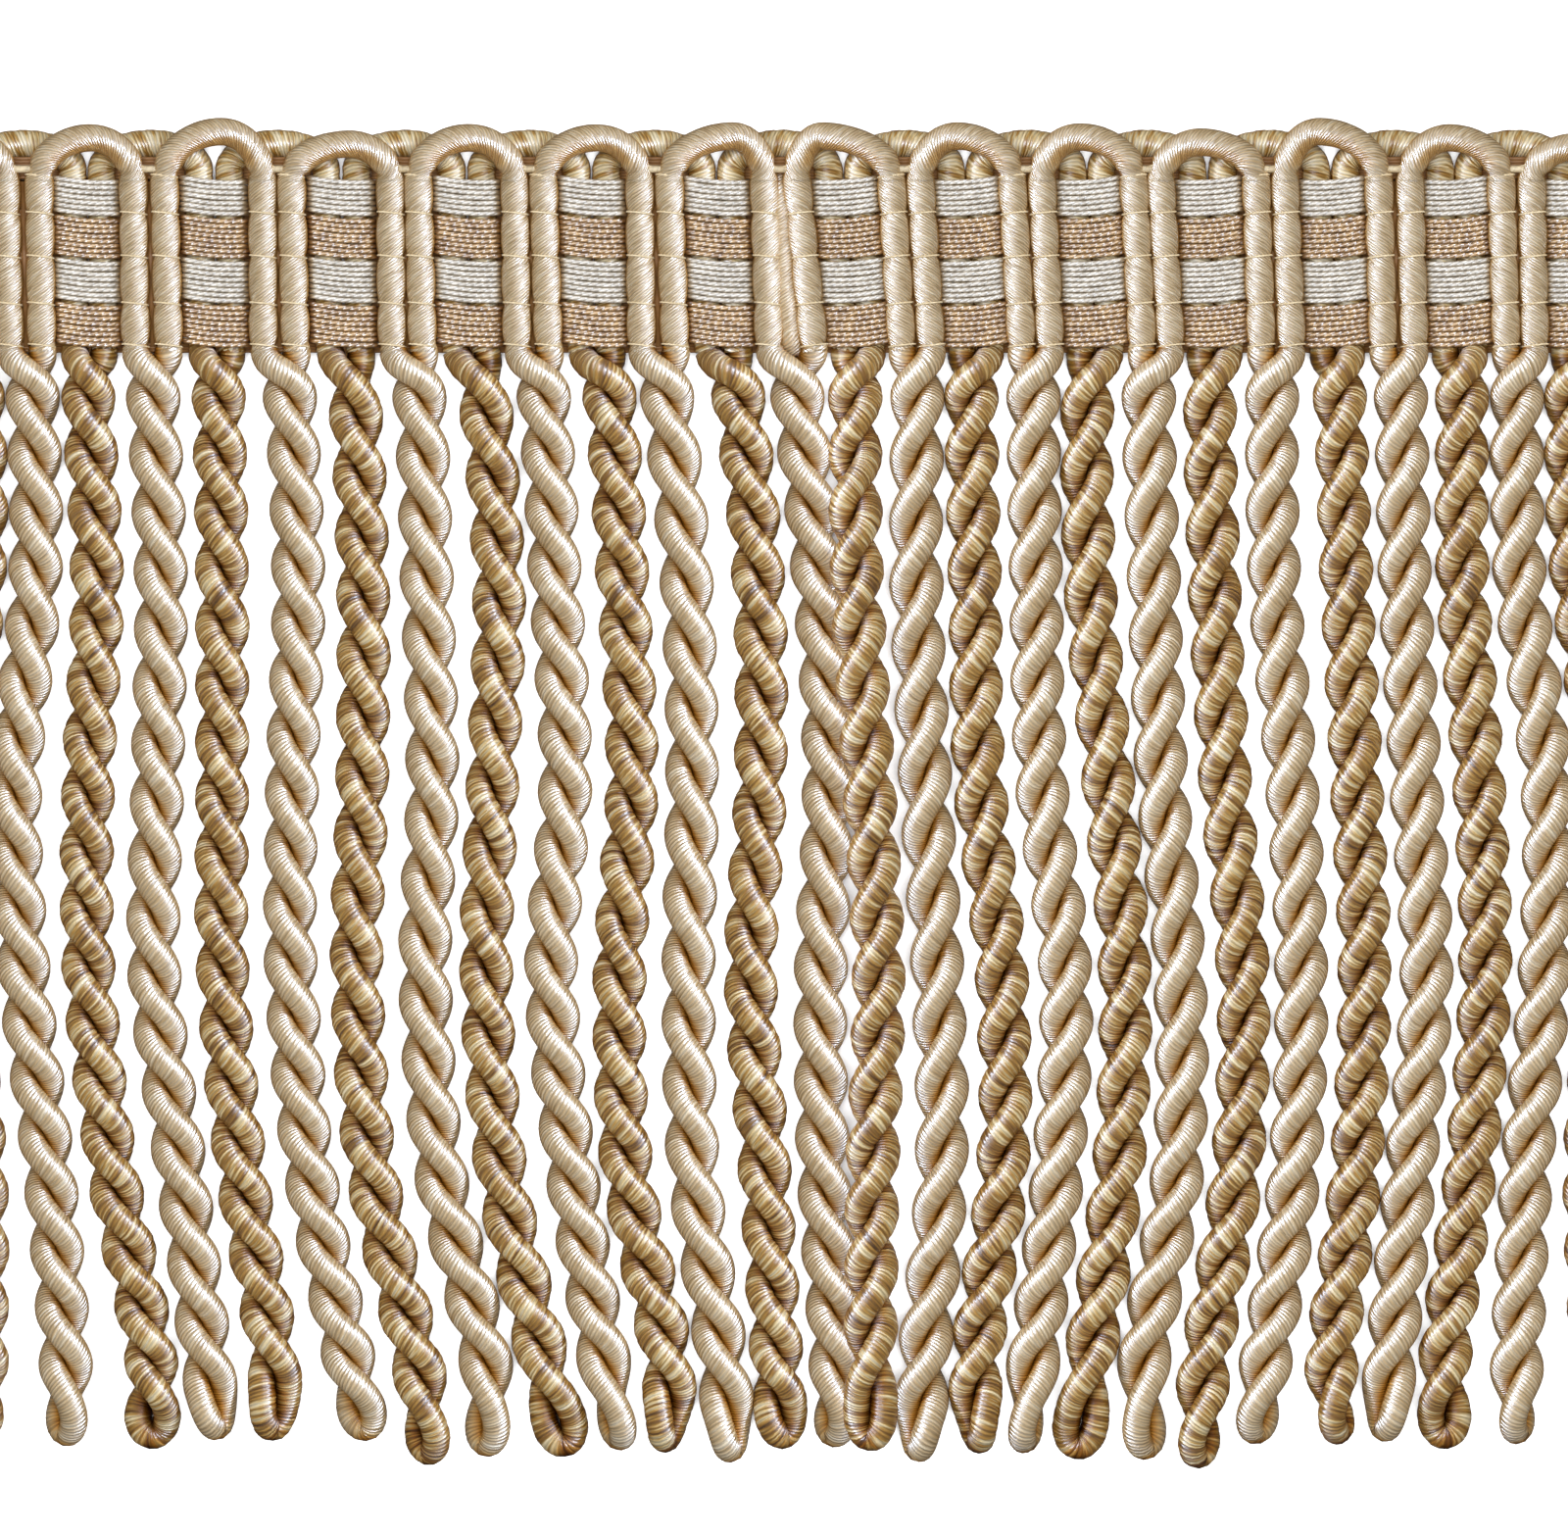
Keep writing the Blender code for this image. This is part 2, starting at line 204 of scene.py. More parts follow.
def pointsOf(mesh):
    places = np.empty(len(mesh.vertices) * 3, dtype=np.float32)
    mesh.vertices.foreach_get("co", places)
    return places.reshape(-1, 3) / mm


def normalsOf(mesh):
    normals = np.empty(len(mesh.vertices) * 3, dtype=np.float32)
    mesh.vertex_normals.foreach_get("vector", normals)
    return normals.reshape(-1, 3)


def edgeOf(piece, start, run):
    # 0 where a cord faces up, 1 where it turns away at its sides
    return smoothShare(1.0 - normalsOf(piece.data)[:, 2], start, run)


def setPaintedShade(piece, values):
    # How much painted shade a point takes, from 0 for none to 1 for the deepest, as down in a
    # groove
    layer = piece.data.attributes.new("paintedShade", "FLOAT", "POINT")
    layer.data.foreach_set("value", np.clip(values, 0, 1).astype(np.float32))


def raiseRidges(piece, mapPlaces, pitch, height):
    # The wound strands stand up a little as uneven ridges that run round the cord
    mesh = piece.data
    corners = np.empty(len(mesh.loops), dtype=np.int32)
    mesh.loops.foreach_get("vertex_index", corners)
    phase = np.zeros(len(mesh.vertices))
    phase[corners] = mapPlaces[:, 0] / pitch + mapPlaces[:, 1]
    lift = 0.6 * np.sin(2 * math.pi * phase) + 0.4 * np.sin(4 * math.pi * phase + 1.1)
    places = pointsOf(mesh) + normalsOf(mesh) * (height * lift)[:, None]
    mesh.vertices.foreach_set("co", (places * mm).astype(np.float32).ravel())
    mesh.update()


def finishPiece(piece, material, nodes):
    piece.data.materials.clear()
    piece.data.materials.append(material)
    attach(piece, "root")
    if nodes:
        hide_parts(*nodes)


# Gimp: a soft core wound side by side with viscose filament, so the light runs in one
# bright streak along the cord and the winding breaks it into fine teeth

creamGimp = {
    "name": "creamViscoseGimp",
    "pitch": 2.2,               # width of the wound ribbon of strands
    "strands": 6,               # strands side by side in that ribbon
    "stray": 5.0,               # how unevenly they lie
    "drift": 0.9,               # how fast their colour changes along the cord
    "strandShading": (0.72, 1.12),      # painted shade between two strands and painted highlight on top of one
    "stops": [(0.30, "#A88A58"), (0.44, "#C4A87A"), (0.56, "#D4BD96"), (0.72, "#E6D9BD")],
    # painted shade, darker and browner down in the grooves
    "paintedShadeStops": [(0.0, "#FFFFFF"), (0.35, "#F4DEB2"), (0.7, "#DFAF5A"), (1.0, "#99691F")],
    "relief": 0.09,
    "roughness": 0.39,
    "anisotropic": 0.85,
    "specular": 1.0,
    "ior": 1.80,
}

tanGimp = {
    "name": "tanViscoseGimp",
    "pitch": 1.6,
    "strands": 4,
    "stray": 5.0,
    "drift": 0.9,
    "strandShading": (0.72, 1.15),
    "stops": [
        (0.27, "#4A2C04"), (0.38, "#7E571B"), (0.46, "#9F752E"), (0.52, "#B28B45"),
        (0.56, "#CDB47E"), (0.65, "#E0D0A8"), (0.77, "#EADFC6"),
    ],
    # painted shade, darker and browner down in the grooves
    "paintedShadeStops": [(0.0, "#FFFFFF"), (0.4, "#E6C690"), (1.0, "#4C2806")],
    "relief": 0.075,
    "roughness": 0.46,
    "anisotropic": 0.85,
    "specular": 1.0,
    "ior": 1.50,
}

# The tan hairpins take the tan ropes' gimp with its colours shifted paler, painted light on the
# same cord
paintedLightShift = 0.09
paintedLightTanGimp = dict(tanGimp)
paintedLightTanGimp["name"] = "paintedLightTanViscoseGimp"
paintedLightTanGimp["stops"] = [(place - paintedLightShift, colour) for place, colour in tanGimp["stops"]]

gimpDepths = {                  # the same for every gimp
    "fibre": 2.2,               # what the fibres' own unevenness adds to a strand's height
    "strand": (-1.0, 0.4),      # a strand's height where its painted shade is deepest and its painted highlight brightest
    "shine": (0.1, 0.8),        # how deep in the painted shade the shine starts to go and is gone
    "leastShine": 0.05,
}


def gimpMaterial(gimp):
    # Each wound strand has a colour of its own, which drifts slowly along the cord
    material, tree, shader = newMaterial(gimp["name"])
    cordMap = addNode(tree, "UVMap", uv_map="cordMap")
    along, around = addNode(tree, "SeparateXYZ", {0: cordMap}).outputs[:2]
    turns = addNode(tree, "Math", {0: along, 1: 1 / gimp["pitch"], 2: around},
                    operation="MULTIPLY_ADD")
    angle = addNode(tree, "Math", {0: turns, 1: 2 * math.pi}, operation="MULTIPLY")
    across = addNode(tree, "Math", {0: angle}, operation="COSINE")
    up = addNode(tree, "Math", {0: angle}, operation="SINE")
    drift = addNode(tree, "Math", {0: along, 1: gimp["drift"]}, operation="MULTIPLY")
    ring = addNode(tree, "CombineXYZ", {0: across, 1: up})
    ringSize = addNode(tree, "VectorMath", {0: ring, "Scale": gimp["strands"] / (2 * math.pi)},
                       operation="SCALE")
    driftAxis = addNode(tree, "CombineXYZ", {2: drift})
    strandPlace = addNode(tree, "VectorMath", {0: ringSize, 1: driftAxis}, operation="ADD")
    fibre = addNode(tree, "TexNoise", {"Vector": strandPlace, "Scale": 1.0, "Detail": 3.0,
                                       "Roughness": 0.6})
    colour = addNode(tree, "ValToRGB", {0: fibre}, stops=gimp["stops"])

    # Each strand is a ridge, so the light catches one flank, and its colour takes painted shade
    # in the gaps and a painted highlight on top
    stray = addNode(tree, "Math", {0: fibre, 1: gimp["stray"]}, operation="MULTIPLY")
    strandAngle = addNode(tree, "Math", {0: angle, 1: gimp["strands"], 2: stray},
                          operation="MULTIPLY_ADD")
    strand = addNode(tree, "Math", {0: strandAngle}, operation="SINE")
    gap, top = gimpDepths["strand"]
    lowTone, highTone = gimp["strandShading"]
    tone = addNode(tree, "MapRange", {0: strand, 1: gap, 2: top, 3: lowTone, 4: highTone})
    toned = addNode(tree, "VectorMath", {0: colour, "Scale": tone}, operation="SCALE")
    height = addNode(tree, "Math", {0: fibre, 1: gimpDepths["fibre"], 2: strand},
                     operation="MULTIPLY_ADD")
    bump = addNode(tree, "Bump", {"Height": height, "Strength": 1.0,
                                  "Distance": gimp["relief"] / 2 * mm})

    # Painted shade on the colour, and the shine turned down where it lies, a painted shade on the
    # reflections too
    paintedShade = addNode(tree, "Attribute", attribute_name="paintedShade").outputs["Fac"]
    shaded = applyPaintedShade(tree, toned, paintedShade, gimp["paintedShadeStops"])
    full, lost = gimpDepths["shine"]
    shine = addNode(tree, "MapRange", {0: paintedShade, 1: full, 2: lost, 3: gimp["specular"],
                                       4: gimpDepths["leastShine"]})
    tangent = addNode(tree, "Tangent", direction_type="UV_MAP", uv_map="cordMap")
    setSockets(tree, shader, {
        "Base Color": shaded, "Normal": bump, "Tangent": tangent, "Specular IOR Level": shine,
        "Roughness": gimp["roughness"], "Anisotropic": gimp["anisotropic"], "IOR": gimp["ior"],
    })
    return material


creamGimpMaterial = gimpMaterial(creamGimp)
tanGimpMaterial = gimpMaterial(tanGimp)
paintedLightTanGimpMaterial = gimpMaterial(paintedLightTanGimp)


# Two-ply viscose yarn, twisted hard, so it shines in short slanting dashes

whiteYarn = {
    "name": "whiteTwoPlyViscose",
    "stops": [(0.35, "#B2ABA0"), (0.65, "#D2CDC4")],
    "relief": 0.10,
    "plyShade": 0.74,            # painted shade between two plies
    "roughness": 0.34,
    "specular": 0.8,
}
brownYarn = {
    "name": "brownTwoPlyViscose",
    "stops": [(0.35, "#89683F"), (0.65, "#B59361")],
    "relief": 0.11,
    "plyShade": 0.62,
    "roughness": 0.36,
    "specular": 1.0,
}
bindingYarn = {                 # one thin ply, hardly twisted, so it is nearly matt
    "name": "creamBindingThread",
    "stops": [(0.35, "#CDB890"), (0.65, "#E0CFAC")],
    "relief": 0.02,
    "plyShade": 0.85,
    "roughness": 0.60,
    "specular": 0.5,
}
plyRun = 0.85               # how far apart a yarn's plies lie along it
plyTop = 0.6                # a ply is free of the painted shade from this share of its height up
yarnPatch = 1.2             # size of a patch of one colour
yarnPaintedShadeStops = [(0.0, "#FFFFFF"), (0.5, "#E0CDAC"), (1.0, "#AC7A3A")]


def yarnMaterial(yarn):
    # Patches of colour, with painted shade between the plies, which a bump also hollows
    material, tree, shader = newMaterial(yarn["name"])
    place = addNode(tree, "TexCoord").outputs["Object"]
    fibre = addNode(tree, "TexNoise", {"Vector": place, "Scale": 1 / (yarnPatch * mm),
                                       "Detail": 3.0})
    colour = addNode(tree, "ValToRGB", {0: fibre}, stops=yarn["stops"])
    yarnMap = addNode(tree, "UVMap", uv_map="cordMap")
    along, around = addNode(tree, "SeparateXYZ", {0: yarnMap}).outputs[:2]
    turns = addNode(tree, "Math", {0: along, 1: math.pi / plyRun}, operation="MULTIPLY")
    plyAngle = addNode(tree, "Math", {0: around, 1: math.pi, 2: turns},
                       operation="MULTIPLY_ADD")
    wave = addNode(tree, "Math", {0: plyAngle}, operation="SINE")
    ply = addNode(tree, "Math", {0: wave}, operation="ABSOLUTE")
    tone = addNode(tree, "MapRange", {0: ply, 1: 0.0, 2: plyTop, 3: yarn["plyShade"], 4: 1.0})
    toned = addNode(tree, "VectorMath", {0: colour, "Scale": tone}, operation="SCALE")
    paintedShade = addNode(tree, "Attribute", attribute_name="paintedShade").outputs["Fac"]
    shaded = applyPaintedShade(tree, toned, paintedShade, yarnPaintedShadeStops)
    bump = addNode(tree, "Bump", {"Height": ply, "Strength": 1.0,
                                  "Distance": yarn["relief"] * mm})
    setSockets(tree, shader, {
        "Base Color": shaded, "Normal": bump, "Roughness": yarn["roughness"],
        "Specular IOR Level": yarn["specular"],
    })
    return material


whiteYarnMaterial = yarnMaterial(whiteYarn)
brownYarnMaterial = yarnMaterial(brownYarn)
bindingMaterial = yarnMaterial(bindingYarn)
print("materials ready")


# Ropes: the table of the part's source, with a little more bend in rope M. root is the
# rope's place along the trim, and the sways are measured from it. first is the depth where
# its two plies first lie side by side below the heading, lobe is half a turn, and eye is
# the width of the loop at its tip.

Rope = namedtuple(
    "Rope", "name yarn root at5 at27 at49 at71 at93 at115 atTip tip first lobe eye"
)
ropes = [
    Rope("Z0", "tan", -91.2, 1.9, 2.1, -0.4, 0.4, 2.3, 2.4, 2.4, 123.5, 5.6, 6.41, 5.5),
    Rope("A", "cream", -83.9, 0.8, 1.1, -1.1, -0.1, 2.7, 4.6, 4.6, 124.1, 5.6, 6.41, 5.3),
    Rope("B", "tan", -76.7, -0.1, 0.9, -0.1, 0.0, 2.7, 7.1, 6.9, 124.4, 5.6, 6.41, 6.6),
    Rope("C", "cream", -69.6, 0.1, 1.0, 0.6, 0.3, 3.3, 6.3, 7.4, 123.4, 5.6, 6.52, 4.8),
    Rope("D", "tan", -62.4, 0.3, 0.7, 0.7, 0.8, 2.9, 6.6, 6.1, 123.5, 5.6, 6.46, 5.3),
    Rope("E", "cream", -55.2, 1.1, 2.1, 1.4, 1.3, 3.4, 8.0, 10.1, 123.5, 5.6, 6.36, 6.0),
    Rope("F", "tan", -48.0, 1.2, 2.2, 2.1, 1.5, 3.2, 8.4, 9.8, 126.2, 7.8, 6.74, 5.5),
    Rope("G", "cream", -40.9, 1.4, 2.3, 2.9, 2.1, 3.8, 9.0, 9.0, 125.3, 5.6, 6.8, 5.5),
    Rope("H", "tan", -33.7, 1.5, 3.2, 2.5, 1.8, 3.5, 8.4, 11.1, 125.3, 7.8, 6.96, 6.4),
    Rope("I", "cream", -26.6, 1.1, 2.5, 3.6, 2.0, 4.3, 8.1, 10.1, 124.6, 5.6, 6.36, 4.6),
    Rope("J", "tan", -19.6, 1.5, 3.1, 4.1, 2.7, 3.6, 8.2, 7.7, 124.8, 5.6, 6.56, 4.4),
    Rope("K", "cream", -12.5, 0.9, 3.2, 3.8, 3.4, 4.0, 7.3, 8.2, 125.9, 5.6, 7.04, 4.4),
    Rope("L", "tan", -5.3, 1.7, 4.1, 4.3, 3.2, 4.8, 6.2, 6.9, 124.4, 5.6, 6.7, 5.7),
    Rope("M", "cream", 2.5, 0.6, 3.1, 4.2, 3.3, 3.6, 5.0, 4.8, 124.2, 5.6, 6.43, 5.1),
    Rope("N", "tan", 10.1, -0.4, -0.2, 1.1, 2.2, 1.5, 1.3, 1.3, 124.4, 5.6, 6.54, 6.0),
    Rope("O", "cream", 16.7, 0.0, -0.1, 0.9, 2.3, 2.7, 0.7, 0.1, 125.9, 5.6, 7.07, 4.2),
    Rope("P", "tan", 23.4, -0.6, -0.2, 0.3, 2.8, 2.9, -0.1, 0.4, 124.9, 5.6, 6.57, 4.2),
    Rope("Q", "cream", 30.1, -0.3, 0.0, 0.6, 3.3, 2.4, -0.4, -1.5, 124.9, 5.6, 6.39, 4.2),
    Rope("R", "tan", 36.9, -1.0, -0.7, 1.3, 3.2, 2.4, -0.9, -2.3, 125.6, 7.3, 6.96, 6.4),
    Rope("S", "cream", 43.6, -0.8, -0.2, 0.7, 2.7, 2.4, -1.4, -1.1, 125.6, 5.6, 6.78, 5.3),
    Rope("T", "tan", 50.4, -0.7, -0.2, 1.0, 3.0, 2.3, -1.3, -2.1, 126.6, 7.3, 6.85, 5.2),
    Rope("U", "cream", 57.1, -0.4, -0.1, 1.8, 2.9, 2.1, -1.2, -2.5, 123.9, 5.6, 6.41, 5.3),
    Rope("V", "tan", 64.0, 0.3, 1.1, 2.2, 3.1, 2.1, -0.6, 0.4, 123.9, 5.6, 6.45, 4.6),
    Rope("W", "cream", 70.9, 0.3, 0.8, 2.0, 3.2, 1.4, -0.9, -1.5, 123.6, 5.6, 6.49, 4.3),
    Rope("X", "tan", 77.9, 0.2, 0.3, 2.1, 2.8, 1.1, -1.8, -1.5, 124.4, 5.6, 6.34, 6.3),
    Rope("Y", "cream", 84.6, -0.3, 0.1, 3.1, 2.8, 0.8, -0.3, -0.2, 123.9, 5.6, 6.45, 4.6),
    Rope("Z", "tan", 91.5, -1.1, -0.4, 2.7, 2.3, 1.0, 1.7, 1.7, 123.9, 5.6, 6.41, 5.5),
]
swayDepths = (5, 27, 49, 71, 93, 115)

# Each cream hairpin: its left and right legs at the top and at the foot,
# the place of its crown along the trim, and the height of its outer edge there.
Loop = namedtuple("Loop", "leftTop leftFoot rightTop rightFoot crown height")
loops = [
    Loop(-96.7, -96.5, -86.1, -85.6, -91.4, 75.5),
    Loop(-82.3, -82.0, -71.7, -71.4, -76.4, 75.5),
    Loop(-68.2, -67.7, -57.1, -57.0, -61.7, 76.2),
    Loop(-53.9, -53.4, -42.7, -42.5, -47.3, 74.8),
    Loop(-39.6, -39.1, -28.7, -28.4, -33.8, 75.5),
    Loop(-25.5, -24.9, -14.6, -14.4, -19.4, 75.5),
    Loop(-11.3, -10.6, -0.6, 0.0, -4.0, 75.7),
    Loop(3.1, 5.1, 13.8, 15.0, 5.9, 75.7),
    Loop(17.0, 18.3, 27.4, 28.5, 21.1, 75.7),
    Loop(30.7, 31.7, 41.1, 42.1, 34.9, 75.6),
    Loop(44.1, 45.3, 54.9, 55.5, 48.6, 75.0),
    Loop(58.1, 58.9, 68.7, 69.2, 61.9, 76.2),
    Loop(72.2, 72.7, 82.5, 83.1, 76.6, 75.5),
    Loop(85.9, 86.3, 96.1, 96.7, 90.9, 74.5),
]

heading = {
    "step": 0.35,               # between two rings of points
    "archStep": 0.2,            # between two points of the worked-out arch
    "unevenness": 0.025,
    "unevenWaves": 0.4,         # to a millimetre
    "creamRadius": 1.65,
    "creamWraps": 3,
    "legThickness": 1.03,       # of that radius
    "archThickness": 0.94,
    "archRun": 4.0,             # run over which a leg thins into the arch
    "archLiftRun": 2.5,         # and rises to the arch's height off the floor
    "archPaintedShade": 0.5,          # how much painted shade an arch's inner side takes
    "archPaintedShadeStart": 0.5,     # above the legs' top
    "archPaintedShadeRun": 2.0,
    "inwardStart": -0.1,        # how far a point has to face inwards for that
    "inwardRun": 0.7,
    "creamZ": 3.4,
    "archZ": 4.3,
    "tanRadius": 1.62,
    "tanWraps": 2,
    "tanZ": 1.62,
    "tanSpread": 0.175,         # of the cream legs' distance, on each side of the middle
    "tanPressed": 0.02,         # less than that where the bands press the legs together
    "pressedRun": 1.0,
    "tanShoulder": 70.4,
    "tanApex": 73.4,
    "tanEndTop": 72.0,
    "footEnd": 49.9,            # the legs run on a little inside the ropes' roots
    "footPinch": 0.06,          # how much thinner the legs are there
    "footPinchDepth": 0.3,      # below the heading's foot
    "footPinchRun": 1.0,
    "nips": ((0.10, 1.2), (0.10, 0.4)),     # depth and reach of a stitch's two dents
    "nipTop": 2.0,              # above the legs' top, where the stitches' dents end
    "edge": 0.65,               # how much painted shade a cord's sides take
    "edgeStart": 0.35,
    "edgeRun": 0.65,
    "ridge": 0.05,
}


def legAt(top, foot, height):
    share = (height - headingFoot) / (legTop - headingFoot)
    return foot + (top - foot) * share


def creamLegs(loop, height):
    left = legAt(loop.leftTop, loop.leftFoot, height)
    right = legAt(loop.rightTop, loop.rightFoot, height)
    return left, right


def tanLegs(loop, height):
    look = heading
    left, right = creamLegs(loop, height)
    middle = (left + right) / 2
    pressed = 1 - smoothShare(height, look["tanShoulder"], look["pressedRun"])
    reach = (look["tanSpread"] - look["tanPressed"] * pressed) * (right - left)
    return middle - reach, middle + reach


# Ropes of two gimp plies that end in a loop, where one ply turns back as the other

ropeLook = {
    "plyRadius": 1.57,
    "twistRadius": 1.51,        # a little under the ply's radius, so the plies press together
    "roundness": 5,
    "turnChange": 6.0,          # ropes rooted left of this turn one way, the others the other
    "creamStep": 0.5,           # between two rings of points
    "tanStep": 0.42,
    "pathStep": 0.1,            # between two points of the worked-out path
    "bowPoints": 40,            # on half of the loop at the tip
    "leastEye": 0.2,            # half of that loop's opening, at the least
    "rootBend": 1.5,            # run over which the legs bend into the twist
    "settle": 4.0,              # run over which the legs close up and drop to the floor
    "tipHeight": 2.6,           # how long the loop at the tip is beyond its two sides
    "openRun": 5.0,             # run over which the plies part above that loop
    "easeRun": 4.0,             # run over which the twist dies out there
    "fitRun": 12.0,             # run over which the twist is fitted to the loop's tilt
    "proppedRope": "N",         # lies up on its two neighbours
    "propHeight": 4.0,
    "propStart": 10.0,
    "propRun": 10.0,
    "unevenness": 0.03,
    "unevenWaves": 0.35,        # to a millimetre
    "rootPinch": 0.09,          # how much thinner the plies are where they leave the heading
    "rootPinchReach": 0.6,
    "paintedShadeFade": 0.5,          # from a rope's middle to where the painted shade down its groove starts to fade
    "paintedShadeRun": 1.9,
    "edge": 0.45,               # how much of that painted shade a ply's sides take
    "edgeStart": 0.45,
    "edgeRun": 0.6,
    "ridge": 0.05,
}


def ropeSway(rope, depth):
    # A smooth curve through the rope's listed sways
    knots = [(0.0, 0.0)]
    knots += zip(swayDepths, (rope.at5, rope.at27, rope.at49, rope.at71, rope.at93, rope.at115))
    knots.append((rope.tip, rope.atTip))
    slopes = []
    for i in range(len(knots)):
        low = knots[max(i - 1, 0)]
        high = knots[min(i + 1, len(knots) - 1)]
        slopes.append((high[1] - low[1]) / (high[0] - low[0]))
    for i in range(len(knots) - 1):
        if depth <= knots[i + 1][0] or i == len(knots) - 2:
            run = knots[i + 1][0] - knots[i][0]
            t = (depth - knots[i][0]) / run
            start = (2 * t**3 - 3 * t**2 + 1) * knots[i][1]
            end = (3 * t**2 - 2 * t**3) * knots[i + 1][1]
            bend = (t**3 - 2 * t**2 + t) * slopes[i] + (t**3 - t**2) * slopes[i + 1]
            return start + end + bend * run


def ropeFeet(rope):
    # Where the rope's two legs leave the heading
    index = [other.name for other in ropes if other.yarn == rope.yarn].index(rope.name)
    if rope.yarn == "cream":
        return loops[index].rightFoot, loops[index + 1].leftFoot
    return tanLegs(loops[index], headingFoot)


def twistAngle(rope, depth, bendEnd, tiltTarget):
    # The turn of the two plies about the rope's middle, from where they leave the heading
    look = ropeLook
    bend = look["rootBend"]
    eased = np.where(depth < bend, depth**2 / (2 * bend), depth - bend / 2)
    start = math.pi * eased / (rope.first - bend / 2)
    rate = math.pi / rope.lobe
    easeStart = bendEnd - look["tipHeight"] - look["easeRun"]
    easeLength = bendEnd - easeStart
    past = np.clip(depth - easeStart, 0.0, easeLength)
    twist = math.pi + rate * (np.minimum(depth, easeStart) - rope.first)
    twist = twist + rate * (past - past**2 / (2 * easeLength))
    angle = np.where(depth < rope.first, start, twist)
    last = math.pi + rate * (easeStart - rope.first) + rate * easeLength / 2
    options = []
    for side in (-tiltTarget, tiltTarget):
        options.append(side + math.pi * round((last - side) / math.pi))
    wanted = min(options, key=lambda option: abs(option - last))
    fit = smoothShare(depth, bendEnd - look["fitRun"], look["fitRun"])
    return angle + (wanted - last) * fit


def ropePath(rope):
    # Down one ply, round the loop at the tip and up the other, with the rope's middle line
    look = ropeLook
    radius = look["plyRadius"]
    twistRadius = look["twistRadius"]
    side = -1.0 if rope.root < look["turnChange"] else 1.0
    leftFoot, rightFoot = ropeFeet(rope)
    footMiddle = (leftFoot + rightFoot) / 2
    footReach = (rightFoot - leftFoot) / 2
    footZ = heading["creamZ"] if rope.yarn == "cream" else heading["tanZ"]
    footRadius = heading["creamRadius"] if rope.yarn == "cream" else heading["tanRadius"]
    bendEnd = rope.tip - radius
    bendStart = bendEnd - look["tipHeight"]
    openStart = bendStart - look["openRun"]
    down = np.arange(0.0, bendStart, look["pathStep"])
    bow = np.linspace(0.0, math.pi / 2, look["bowPoints"])
    depth = np.concatenate((down, bendStart + look["tipHeight"] * np.sin(bow)))
    eyeReach = max(rope.eye / 2 - radius, look["leastEye"])
    openReach = max(eyeReach, twistRadius)
    tilt = math.acos(min(eyeReach / openReach, 1.0))
    angle = twistAngle(rope, depth, bendEnd, tilt)
    settled = smoothShare(depth, 0.0, look["settle"])
    reach = footReach + (twistRadius - footReach) * settled
    reach = reach + (openReach - twistRadius) * smoothShare(depth, openStart, look["openRun"])
    reach[len(down):] = openReach * np.cos(bow)
    middle = np.array([rope.root + ropeSway(rope, d) for d in depth])
    middle = middle + (footMiddle - rope.root) * (1 - settled)
    slope = np.gradient(middle[:len(down)], down)
    slope = np.concatenate((slope, np.full(len(bow), slope[-1])))
    plyRadius = footRadius + (radius - footRadius) * settled
    rise = np.abs(np.sin(angle))
    if rope.yarn == "cream":
        middleZ = footZ + (radius + twistRadius - footZ) * settled
    else:
        early = depth < rope.first / 2
        middleZ = np.where(early, plyRadius + reach * rise, radius + twistRadius)
    flat = smoothShare(depth, openStart, look["openRun"] + look["tipHeight"])
    share = np.maximum(rise, 1 - flat + flat * abs(math.sin(tilt)))
    low = radius + reach * share
    middleZ = np.where(depth > openStart, low, middleZ)
    if rope.name == look["proppedRope"]:
        middleZ = middleZ + look["propHeight"] * smoothShare(
            depth, look["propStart"], look["propRun"])
    plies = []
    for way in (1.0, -1.0):
        across = way * side * reach * np.cos(angle)
        up = way * reach * np.sin(angle)
        tall = np.sqrt(1 + slope**2)
        x = middle + across / tall
        y = headingFoot - depth + across * slope / tall
        plies.append(np.stack((x, y, middleZ + up), axis=1))
    line = np.concatenate((plies[0], plies[1][-2::-1]))
    return line, (depth, middle, middleZ, slope), plyRadius


def makeRope(rope, material):
    look = ropeLook
    line, centre, plyRadius = ropePath(rope)
    step = look["creamStep"] if rope.yarn == "cream" else look["tanStep"]
    points, length = evenPoints(line, step)
    places = np.linspace(0.0, length, len(points))
    radii = 1.0 + look["unevenness"] * slowNoise(places * look["unevenWaves"], rope.root)
    depths = headingFoot - points[:, 1]
    radii = radii * np.interp(depths, centre[0], plyRadius) / look["plyRadius"]
    radii = radii * (1 - look["rootPinch"] * np.exp(-(depths / look["rootPinchReach"]) ** 2))
    piece = makeCord("rope_" + rope.name, [points], look["plyRadius"], look["roundness"],
                     [radii])
    mapPlaces = stretchMap(piece, length, -1 if rope.root < look["turnChange"] else 1)
    if rope.yarn == "tan":
        raiseRidges(piece, mapPlaces, tanGimp["pitch"], look["ridge"])
    # Painted shade down the rope's middle, where its two plies meet, and on the plies' sides
    places = pointsOf(piece.data)
    depths = headingFoot - places[:, 1]
    depth, middle, middleZ, slope = centre
    slant = np.interp(depths, depth, slope)
    across = (places[:, 0] - np.interp(depths, depth, middle)) / np.sqrt(1 + slant**2)
    above = places[:, 2] - np.interp(depths, depth, middleZ)
    distance = np.hypot(across, above)
    inner = 1.0 - smoothShare(distance, look["paintedShadeFade"], look["paintedShadeRun"])
    sides = edgeOf(piece, look["edgeStart"], look["edgeRun"]) * look["edge"]
    setPaintedShade(piece, np.maximum(inner, sides))
    finishPiece(piece, material, [rope.yarn + "_fringe"])
    return piece


